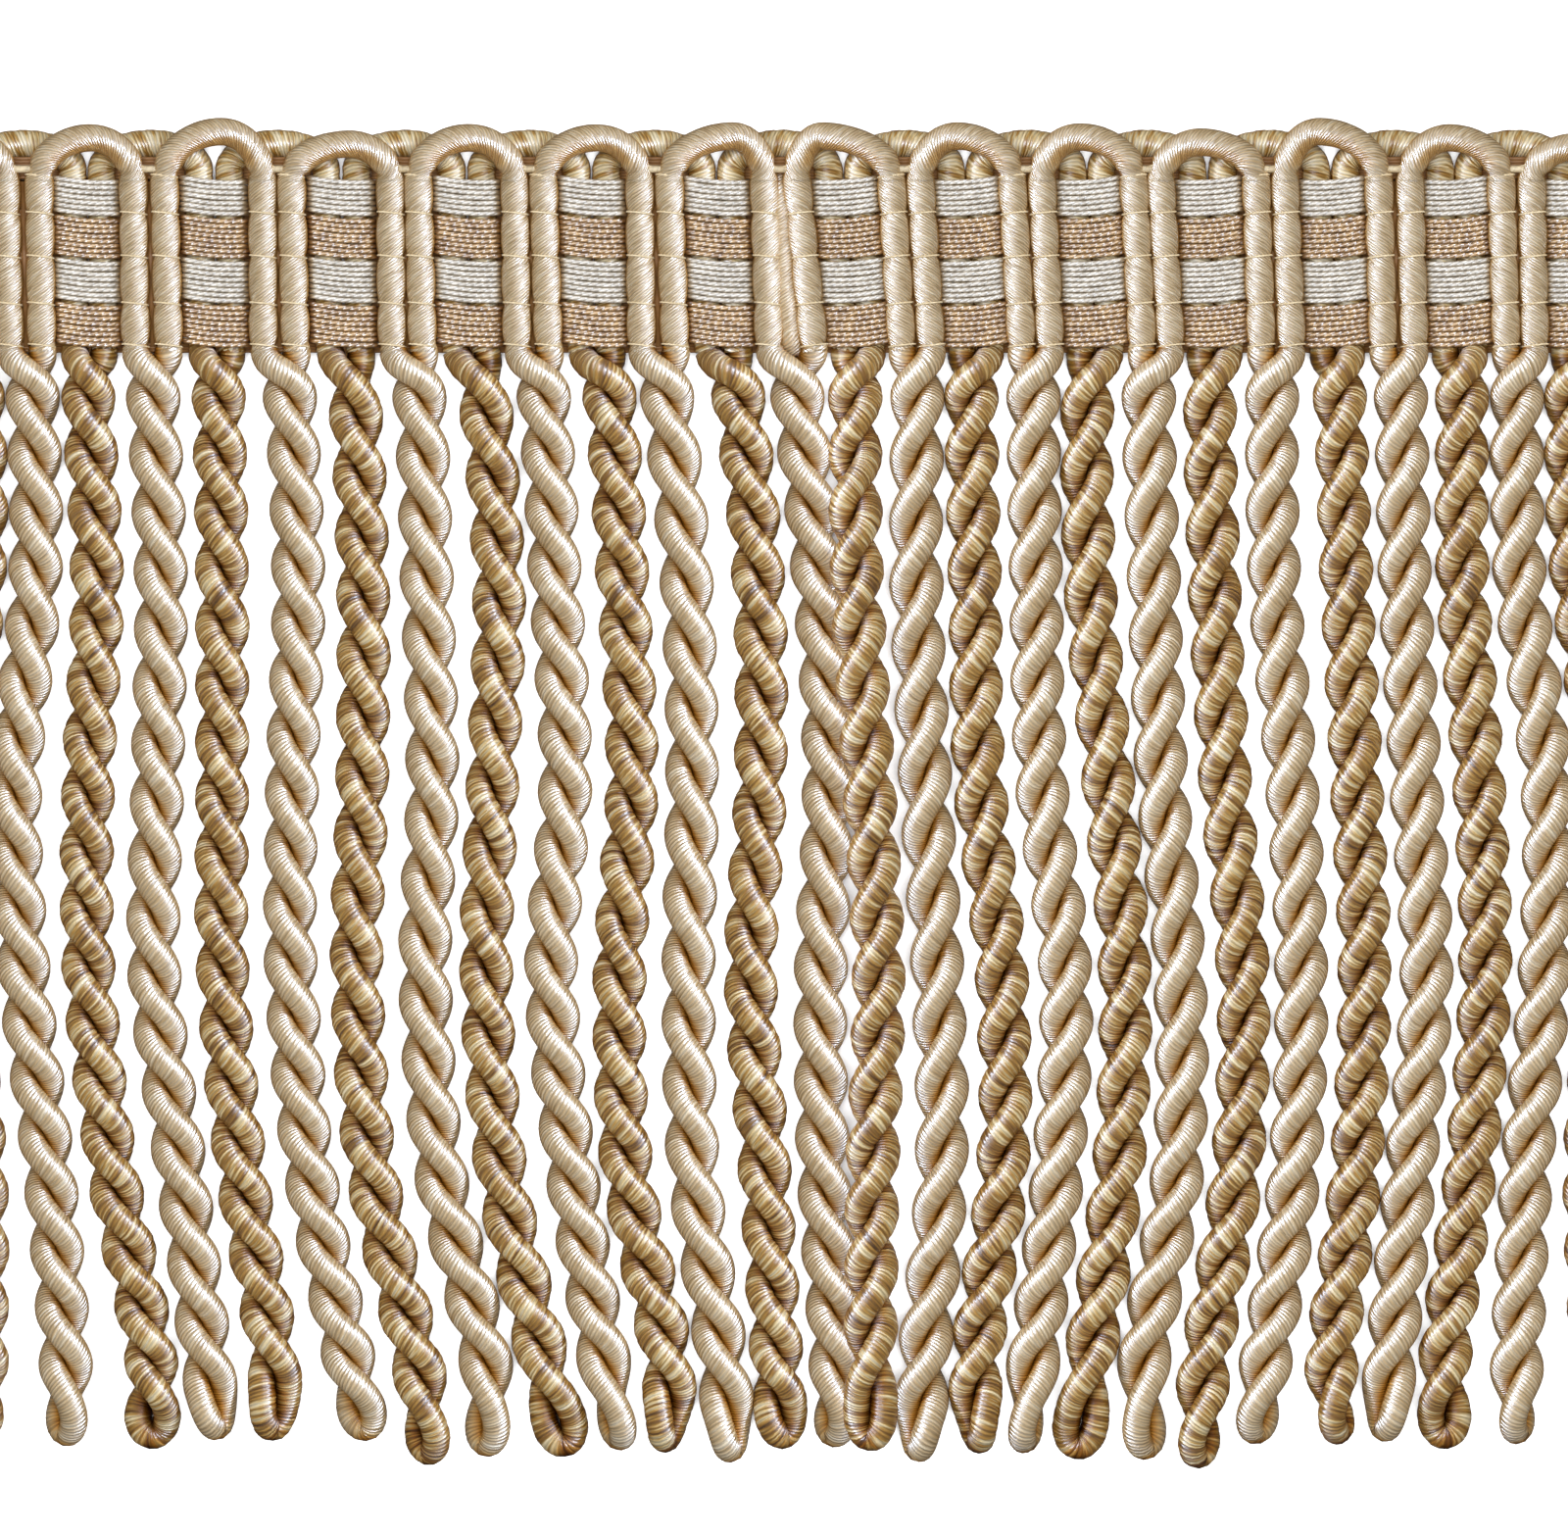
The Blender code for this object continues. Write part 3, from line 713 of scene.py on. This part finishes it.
leftPieces = []
rightPieces = []
for rope in ropes:
    material = creamGimpMaterial if rope.yarn == "cream" else tanGimpMaterial
    piece = makeRope(rope, material)
    if rope.root < ropeLook["turnChange"]:
        leftPieces.append(piece)
    else:
        rightPieces.append(piece)
print("ropes ready:", len(ropes))


# Cream hairpins in front and tan hairpins behind, held by the woven bands


def archPoints(start, crown, end, steps=24):
    # Two quarter ellipses from one upright leg over the crown to the other
    turns = np.linspace(0.0, math.pi / 2, steps + 1)
    leftX = crown[0] + (start[0] - crown[0]) * np.cos(turns)
    leftY = start[1] + (crown[1] - start[1]) * np.sin(turns)
    rightX = crown[0] + (end[0] - crown[0]) * np.cos(turns)
    rightY = end[1] + (crown[1] - end[1]) * np.sin(turns)
    x = np.concatenate((leftX, rightX[-2::-1]))
    y = np.concatenate((leftY, rightY[-2::-1]))
    return np.stack((x, y), axis=1)


stitchRows = (70.3, 65.5, 60.6, 55.3, 50.6)     # heights of the binding stitches


def legNip(heights):
    # The binding stitches nip the legs a little
    nip = np.zeros(len(heights))
    for row in stitchRows:
        for depth, reach in heading["nips"]:
            nip = nip + depth * np.exp(-((heights - row) / reach) ** 2)
    return nip


def archPaintedShade(piece):
    # Painted shade on the inner side of a hairpin's arch, and 0 elsewhere
    look = heading
    places = pointsOf(piece.data)
    normals = normalsOf(piece.data)
    middle = (places[:, 0].min() + places[:, 0].max()) / 2
    x = middle - places[:, 0]
    y = legTop - places[:, 1]
    inwards = (normals[:, 0] * x + normals[:, 1] * y) / np.maximum(np.hypot(x, y), 0.1)
    onArch = smoothShare(places[:, 1], legTop + look["archPaintedShadeStart"], look["archPaintedShadeRun"])
    return look["archPaintedShade"] * smoothShare(inwards, look["inwardStart"],
                                            look["inwardRun"]) * onArch


def makeLoopPiece(kind, node, line, isCream, isRight):
    look = heading
    radius = look["creamRadius"] if isCream else look["tanRadius"]
    wraps = look["creamWraps"] if isCream else look["tanWraps"]
    points, length = evenPoints(line, look["step"])
    places = np.linspace(0.0, length, len(points))
    heights = points[:, 1]
    radii = 1.0 + look["unevenness"] * slowNoise(places * look["unevenWaves"], points[0, 0])
    pinchEnd = headingFoot - look["footPinchDepth"]
    radii = radii - look["footPinch"] * (1 - smoothShare(heights, pinchEnd, look["footPinchRun"]))
    if isCream:
        thinner = look["legThickness"] - look["archThickness"]
        radii = radii + look["legThickness"] - 1.0
        radii = radii - thinner * smoothShare(heights, legTop, look["archRun"])
        radii = radii - legNip(heights) * (heights < legTop + look["nipTop"])
    piece = makeCord(kind + node, [points], radius, radii=[radii])
    mapPlaces = stretchMap(piece, length, wraps if isRight else -wraps)
    if not isCream:
        raiseRidges(piece, mapPlaces, tanGimp["pitch"], look["ridge"])
    # Painted shade on the cord's sides, and on a cream arch's inner side
    paintedShade = edgeOf(piece, look["edgeStart"], look["edgeRun"]) * look["edge"]
    if isCream:
        paintedShade = np.maximum(paintedShade, archPaintedShade(piece))
    setPaintedShade(piece, paintedShade)
    if isCream:
        finishPiece(piece, creamGimpMaterial, [node])
    else:
        finishPiece(piece, paintedLightTanGimpMaterial, [node])
    (rightPieces if isRight else leftPieces).append(piece)


def makeCreamLoops():
    look = heading
    footEnd = look["footEnd"]
    for number, loop in enumerate(loops, start=1):
        crown = (loop.crown, loop.height - look["creamRadius"] * look["archThickness"])
        arch = archPoints((loop.leftTop, legTop), crown, (loop.rightTop, legTop))
        flat = np.vstack(([loop.leftFoot, footEnd], arch, [loop.rightFoot, footEnd]))
        flatLine = np.column_stack((flat, np.zeros(len(flat))))
        points = evenPoints(flatLine, look["archStep"])[0]
        lift = smoothShare(points[:, 1], legTop, look["archLiftRun"])
        points[:, 2] = look["creamZ"] + (look["archZ"] - look["creamZ"]) * lift
        makeLoopPiece("hairpin_", f"cream_loop_{number:02d}", points, True, loop.crown > 0)


def makeTanLoops():
    look = heading
    shoulder = look["tanShoulder"]
    footEnd = look["footEnd"]
    for number, (before, after) in enumerate(zip(loops, loops[1:]), start=1):
        start = (tanLegs(before, shoulder)[1], shoulder)
        end = (tanLegs(after, shoulder)[0], shoulder)
        crown = ((before.rightTop + after.leftTop) / 2, look["tanApex"])
        arch = archPoints(start, crown, end)
        flat = np.vstack(([tanLegs(before, footEnd)[1], footEnd], arch,
                          [tanLegs(after, footEnd)[0], footEnd]))
        line = np.column_stack((flat, np.full(len(flat), look["tanZ"])))
        makeLoopPiece("hairpin_", f"tan_loop_{number:02d}", line, False, crown[0] > 0)
    for name, loop, side in (("left", loops[0], 0), ("right", loops[-1], 1)):
        foot = tanLegs(loop, headingFoot)[side]
        top = tanLegs(loop, look["tanEndTop"])[side]
        line = [(foot, footEnd, look["tanZ"]), (top, look["tanEndTop"], look["tanZ"])]
        makeLoopPiece("leg_", "tan_end_leg_" + name, line, False, side == 1)


makeCreamLoops()
makeTanLoops()
print("hairpins ready")


# Binding thread: a stitch over each cream leg at each row, threads and a knob between two
# hairpins, and threads over the tan legs' feet. A narrow length of gimp fills the gap where
# the two halves of the trim meet.

binding = {
    "radius": 0.11,
    "nippedLeg": 0.86,          # of the leg's radius
    "over": 0.08,               # how far it lies off the nipped leg
    "turns": (-35, 215),        # degrees round the leg from end to end
    "turnPoints": 15,
    "slant": 0.35,
    "stitchLength": 7.0,
    "topRow": 70.9,             # the leg that bends over first is stitched higher up
    "lowTopRow": 69.7,
    "bridgeRadius": 0.22,
    "bridgeZ": 2.6,
    "bridgeInset": 1.0,         # from a leg's middle to where the thread lies level
    "bridgeTuck": 2.2,          # and to its hidden end
    "bridgeDrop": 0.9,
    "bridgeLength": 2.0,
    "bridgePaintedShade": 0.9,        # how much painted shade a low thread takes
    "paintedShadeTop": 0.4,           # above the level threads, where that painted shade starts to fade
    "paintedShadeRun": 0.6,
    "bridgeRows": (
        71.7, 71.35, 71.0, 70.65, 70.3, 69.95, 69.6, 65.8, 65.45, 65.1,
        61.0, 60.65, 60.3, 56.0, 55.65, 55.3, 50.75, 50.4, 50.05,
    ),
    "knobRow": 70.45,           # a thicker thread between two hairpins, lying high, so it is lit and free of the low threads' painted shade
    "knobZ": 4.2,
    "knobInset": 0.8,
    "knobSag": 0.2,
    "knobThickness": 1.9,       # of the bridges' radius
    "gapZ": 2.5,                # a thread down the gap between two hairpins
    "gapThickness": 2.0,        # of the same
    "footRows": (50.7, 50.35, 50.0, 49.65),     # threads over the tan legs' feet
    "footReach": 0.6,
    "footZ": (1.3, 1.6, 1.3),
    "filler": [                 # the filling cord's middle line
        (1.2, 69.5, 1.4), (1.2, 68.0, 2.4), (1.25, 66.0, 2.7), (1.7, 58.0, 2.7),
        (2.45, 51.5, 2.7), (2.6, 50.0, 1.9),
    ],
    "fillerRadius": 1.4,
    "fillerStep": 0.45,
    "fillerUnevenness": 0.03,
    "fillerSeed": 7.7,
    "fillerWraps": -2,
    "fillerPaintedShade": (0.05, 0.85),           # painted shade on its top and at its sides
    "fillerShadeEdge": (0.25, 0.6),
}


def makeStitches():
    look = binding
    firstTurn, lastTurn = np.radians(look["turns"])
    turns = np.linspace(firstTurn, lastTurn, look["turnPoints"])
    reach = heading["creamRadius"] * look["nippedLeg"] + look["over"]
    lines = []
    for loop in loops:
        outwards = -1.0 if loop.crown < 0 else 1.0
        for side in (0, 1):
            way = 1.0 if side else -1.0
            isHigh = way != outwards
            rows = (look["topRow"] if isHigh else look["lowTopRow"],) + stitchRows[1:]
            for row in rows:
                x = creamLegs(loop, row)[side]
                slant = look["slant"] * outwards * np.cos(turns) / 2
                line = np.stack((x + reach * np.cos(turns), row + slant,
                                 heading["creamZ"] + reach * np.sin(turns)), axis=1)
                lines.append(line)
    piece = makeCord("binding_stitches", lines, look["radius"], 1)
    stretchMap(piece, look["stitchLength"], 1)
    finishPiece(piece, bindingMaterial, [])
    return piece


def makeBridges():
    # The thread crosses from leg to leg, between hairpins and across the tan legs' feet
    look = binding
    lines = []
    radii = []
    for before, after in zip(loops, loops[1:]):
        for row in look["bridgeRows"]:
            start = creamLegs(before, row)[1]
            end = creamLegs(after, row)[0]
            z = look["bridgeZ"]
            lowZ = z - look["bridgeDrop"]
            lines.append(np.array([(start - look["bridgeTuck"], row, lowZ),
                                   (start + look["bridgeInset"], row, z),
                                   (end - look["bridgeInset"], row, z),
                                   (end + look["bridgeTuck"], row, lowZ)]))
            radii.append(np.ones(4))
        row = look["knobRow"]
        start = creamLegs(before, row)[1] + look["knobInset"]
        end = creamLegs(after, row)[0] - look["knobInset"]
        z = look["knobZ"]
        middle = (start + end) / 2
        lines.append(np.array([(start, row, z), (middle, row, z - look["knobSag"]),
                               (end, row, z)]))
        radii.append(np.full(3, look["knobThickness"]))
        low = (before.rightFoot + after.leftFoot) / 2
        high = (before.rightTop + after.leftTop) / 2
        lines.append(np.array([(low, headingFoot, look["gapZ"]), (high, legTop, look["gapZ"])]))
        radii.append(np.full(2, look["gapThickness"]))
    for loop in loops:
        for row in look["footRows"]:
            left, right = tanLegs(loop, row)
            x = (left + right) / 2 + np.array((-1.0, 0.0, 1.0)) * look["footReach"]
            lines.append(np.stack((x, np.full(3, row), look["footZ"]), axis=1))
            radii.append(np.ones(3))
    piece = makeCord("binding_bridges", lines, look["bridgeRadius"], 1, radii)
    stretchMap(piece, look["bridgeLength"], 1)
    # Painted shade on the threads that lie low
    heights = pointsOf(piece.data)[:, 2]
    lit = smoothShare(heights, look["bridgeZ"] + look["paintedShadeTop"], look["paintedShadeRun"])
    setPaintedShade(piece, look["bridgePaintedShade"] * (1 - lit))
    finishPiece(piece, bindingMaterial, [])
    return piece


def makeFiller():
    look = binding
    points, length = evenPoints(look["filler"], look["fillerStep"])
    places = np.linspace(0.0, length, len(points))
    uneven = slowNoise(places * heading["unevenWaves"], look["fillerSeed"])
    radii = 1.0 + look["fillerUnevenness"] * uneven
    piece = makeCord("cream_filler_cord", [points], look["fillerRadius"], radii=[radii])
    stretchMap(piece, length, look["fillerWraps"])
    # Painted shade, little on its top and deep at its sides
    topShade, sideShade = look["fillerPaintedShade"]
    start, run = look["fillerShadeEdge"]
    setPaintedShade(piece, topShade + (sideShade - topShade) * edgeOf(piece, start, run))
    finishPiece(piece, creamGimpMaterial, [])
    return piece


threadPieces = [makeStitches(), makeBridges()]
leftPieces.append(makeFiller())
print("binding ready")


# Woven bands of two-ply yarns, over the tan legs and under the cream ones

Band = namedtuple("Band", "name foot top yarns colour")
bands = [
    Band("white_band_upper", 65.6, 69.7, 7, "white"),
    Band("tan_band_upper", 60.8, 65.3, 8, "tan"),
    Band("white_band_lower", 55.8, 60.5, 8, "white"),
    Band("tan_band_lower", 50.8, 55.5, 8, "tan"),
]

bandLook = {
    "thickness": 0.985,         # of their spacing, so a thin dark line shows between them
    "overZ": 3.55,
    "underZ": 1.25,
    "flatReach": 3.1,           # from a window's middle to where the yarn starts to dive
    "diveReach": 4.6,           # and to where it is fully under the cream leg
    "shadeStart": 2.7,          # and to where it starts to lie in the legs' shade
    "shadeRun": 1.5,
    "slope": 0.65,              # how far a yarn drops across a window
    "sag": 0.38,
    "fineStep": 0.35,           # between two rings of points where the yarn shows
    "coarseStep": 0.8,          # and where it doesn't
    "roundness": 2,
    "wobble": (0.06, 0.5),      # size across and waves to a millimetre
    "lift": (0.05, 0.7),        # the same up and down
    "liftSeed": 31.0,
    "yarnSeed": 3.1,
    "bandSeed": 40.0,
    "plies": 2,
    "plyStart": (1.7, 3.3, 9.0),            # noise for where each yarn's twist starts
    "edge": 0.55,               # how much painted shade a yarn's sides take
    "edgeStart": 0.15,
    "edgeRun": 0.6,
}


def yarnPlaces():
    # Close together where the yarn shows and further apart under the cream legs
    look = bandLook
    places = [-halfLength]
    while places[-1] < halfLength:
        x = places[-1]
        shown = False
        for loop in loops:
            left, right = creamLegs(loop, (headingFoot + legTop) / 2)
            if abs(x - (left + right) / 2) < look["diveReach"]:
                shown = True
        places.append(x + (look["fineStep"] if shown else look["coarseStep"]))
    places[-1] = halfLength
    return np.array(places)


def yarnLine(height, places, seed):
    look = bandLook
    rise = np.zeros(len(places))
    drop = np.zeros(len(places))
    for loop in loops:
        left, right = creamLegs(loop, height)
        middle = (left + right) / 2
        apart = places - middle
        over = 1 - smoothShare(np.abs(apart), look["flatReach"],
                               look["diveReach"] - look["flatReach"])
        rise = np.maximum(rise, over)
        way = 1.0 if middle < 0 else -1.0
        inside = np.clip(apart / look["diveReach"], -1, 1)
        shape = -way * look["slope"] * inside / 2 - look["sag"] * (1 - inside**2)
        drop = drop + np.where(np.abs(apart) < look["diveReach"], shape, 0.0)
    size, waves = look["wobble"]
    wobble = size * slowNoise(places * waves, seed)
    size, waves = look["lift"]
    lift = size * slowNoise(places * waves, seed + look["liftSeed"])
    z = look["underZ"] + (look["overZ"] - look["underZ"]) * rise + lift * rise
    return np.stack((places, height + drop + wobble, z), axis=1)


def makeBands():
    look = bandLook
    places = yarnPlaces()
    pieces = []
    for bandNumber, band in enumerate(bands):
        pitch = (band.top - band.foot) / band.yarns
        lines = []
        for i in range(band.yarns):
            seed = look["yarnSeed"] * i + look["bandSeed"] * bandNumber
            lines.append(yarnLine(band.foot + pitch * (i + 0.5), places, seed))
        piece = makeCord("yarns_" + band.name, lines, pitch / 2 * look["thickness"],
                         look["roundness"])
        mapPlaces = stretchMap(piece, look["fineStep"] * (len(places) - 1), look["plies"])
        waves, plySeed, size = look["plyStart"]
        starts = slowNoise(np.arange(len(lines)) * waves, plySeed) * size
        mapPlaces[:, 1] += np.repeat(starts, len(mapPlaces) // len(lines))
        piece.data.uv_layers[0].uv.foreach_set("vector", mapPlaces.ravel())
        points = pointsOf(piece.data)
        apart = np.full(len(points), 99.0)
        for loop in loops:
            left, right = creamLegs(loop, points[:, 1])
            apart = np.minimum(apart, np.abs(points[:, 0] - (left + right) / 2))
        # Painted shade where a yarn nears and dives under the cream legs, and on each yarn's
        # sides
        shade = smoothShare(apart, look["shadeStart"], look["shadeRun"])
        sides = edgeOf(piece, look["edgeStart"], look["edgeRun"]) * look["edge"]
        setPaintedShade(piece, np.maximum(shade, sides))
        white = band.colour == "white"
        finishPiece(piece, whiteYarnMaterial if white else brownYarnMaterial,
                    [band.name])
        pieces.append(piece)
    return pieces


bandPieces = makeBands()
print("bands ready")


# A plain pale floor, lit by its own light so that it stays white under the trim

floorLook = {"size": 3.0, "colour": "#F4F4F4", "roughness": 0.9}


def makeFloor():
    bpy.ops.mesh.primitive_plane_add(size=floorLook["size"], location=(0, 0, 0))
    floor = bpy.context.object
    floor.name = "floor"
    material, tree, shader = newMaterial("palePaintedFloor")
    setSockets(tree, shader, {"Base Color": toLinear(floorLook["colour"]),
                              "Roughness": floorLook["roughness"]})
    floor.data.materials.append(material)
    floor.visible_diffuse = False
    floor.visible_glossy = False
    floor.select_set(False)
    return floor


floor = makeFloor()


# Soft studio light: a wide one overhead, and one from each upper side for its own half

lights = {
    "overhead": {"place": (0.0, 0.25, 1.6), "size": 1.4, "power": 14.0, "colour": "#FFFFFF"},
    "side": {"place": (0.76, 0.26, 0.55), "size": 0.30, "power": 4.2, "colour": "#FFFFFF"},
    "sheen": {"place": (0.44, 0.15, 0.85), "size": 0.60, "power": 12.5, "colour": "#D3E4FF"},
    "streak": {"place": (0.80, 0.25, 0.50), "size": 0.22, "power": 28.0, "colour": "#D3E4FF"},
    "floor": {"place": (0.0, 0.0, 1.9), "size": 1.5, "power": 95.0, "colour": "#FFFFFF"},
    "worldAbove": 0.49,
    "worldBelow": 0.13,
    "worldHeights": (-0.1, 0.7),            # from fully below to fully above
}


def aimAt(obj, target):
    way = np.array(target) - np.array(obj.location)
    flat = math.hypot(way[0], way[1])
    obj.rotation_euler = (math.atan2(flat, -way[2]), 0.0, math.atan2(-way[0], way[1]))


def groupOf(name, pieces):
    group = bpy.data.collections.new(name)
    for piece in pieces:
        group.objects.link(piece)
    return group


def makeLight(name, look, receivers, mirrored=False):
    data = bpy.data.lights.new(name, "AREA")
    data.shape = "DISK"
    data.size = look["size"]
    data.energy = look["power"]
    data.color = toLinear(look["colour"])[:3]
    light = bpy.data.objects.new(name, data)
    x, y, z = look["place"]
    light.location = (-x if mirrored else x, y, z)
    aimAt(light, (0.0, 0.0, 0.0))
    light.visible_camera = False
    bpy.context.scene.collection.objects.link(light)
    light.light_linking.receiver_collection = groupOf(name + "Receivers", receivers)
    return light


def makeLights():
    everything = leftPieces + rightPieces + bandPieces + threadPieces
    overhead = makeLight("overheadSoftLight", lights["overhead"], everything)
    overhead.visible_glossy = False
    makeLight("floorLight", lights["floor"], [floor])
    # The propped rope throws no shade on its neighbours
    propped = "rope_" + ropeLook["proppedRope"]
    blockers = groupOf("blockers", [piece for piece in everything if piece.name != propped])
    for name, pieces, mirrored in (("Right", leftPieces, False), ("Left", rightPieces, True)):
        allOfIt = pieces + bandPieces + threadPieces
        tanBands = bandPieces[1::2]
        side = makeLight("upper" + name + "Light", lights["side"], allOfIt, mirrored)
        sheen = makeLight("upper" + name + "Sheen", lights["sheen"], allOfIt, mirrored)
        streak = makeLight("upper" + name + "Streak", lights["streak"], pieces + tanBands,
                           mirrored)
        sheen.visible_diffuse = False
        streak.visible_diffuse = False
        for light in (side, sheen, streak):
            light.light_linking.blocker_collection = blockers


def makeWorld():
    # Brighter above than below, as in a white room over a dark bench
    world = bpy.data.worlds.new("softRoom")
    world.use_nodes = True
    tree = world.node_tree
    way = addNode(tree, "TexCoord").outputs["Generated"]
    up = addNode(tree, "SeparateXYZ", {0: way}).outputs[2]
    low, high = lights["worldHeights"]
    level = addNode(tree, "MapRange", {0: up, 1: low, 2: high, 3: lights["worldBelow"],
                                       4: lights["worldAbove"]})
    setSockets(tree, tree.nodes["Background"], {"Color": (1, 1, 1, 1), "Strength": level})
    bpy.context.scene.world = world


makeLights()
makeWorld()
bpy.context.scene.view_settings.view_transform = "Standard"
print("light ready")
